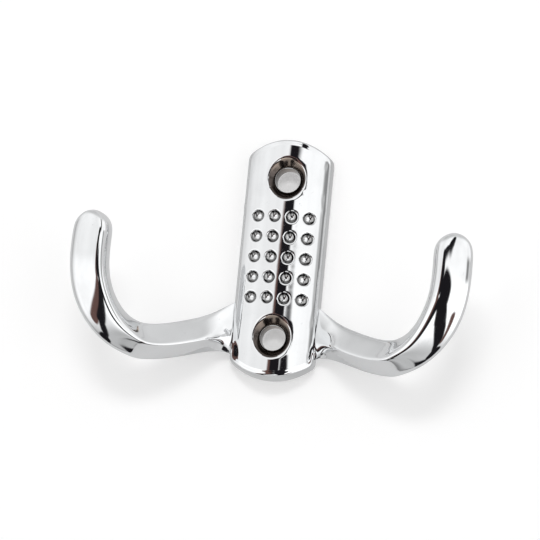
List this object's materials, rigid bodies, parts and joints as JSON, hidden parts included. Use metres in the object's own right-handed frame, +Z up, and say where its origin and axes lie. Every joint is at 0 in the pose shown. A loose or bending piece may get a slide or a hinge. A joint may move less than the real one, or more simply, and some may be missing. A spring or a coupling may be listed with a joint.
{
  "type": "double robe hook",
  "caption": "Chromed wall hook for robes: a crowned backplate with a grid of dimples and countersunk screw holes, and a J-shaped arm with a broad round-tipped finger on each side.",
  "frame": {"origin": "midway between the screw holes, on the wall plane that the back rim rests on", "axes": "+X to the right along the wall, +Y into the wall, +Z up"},
  "size_m": [0.0786, 0.0197, 0.0486],
  "materials": {
    "chrome": "polished"
  },
  "bodies": {
    "root": {"double_hook": "chrome"}
  },
  "joints": []
}
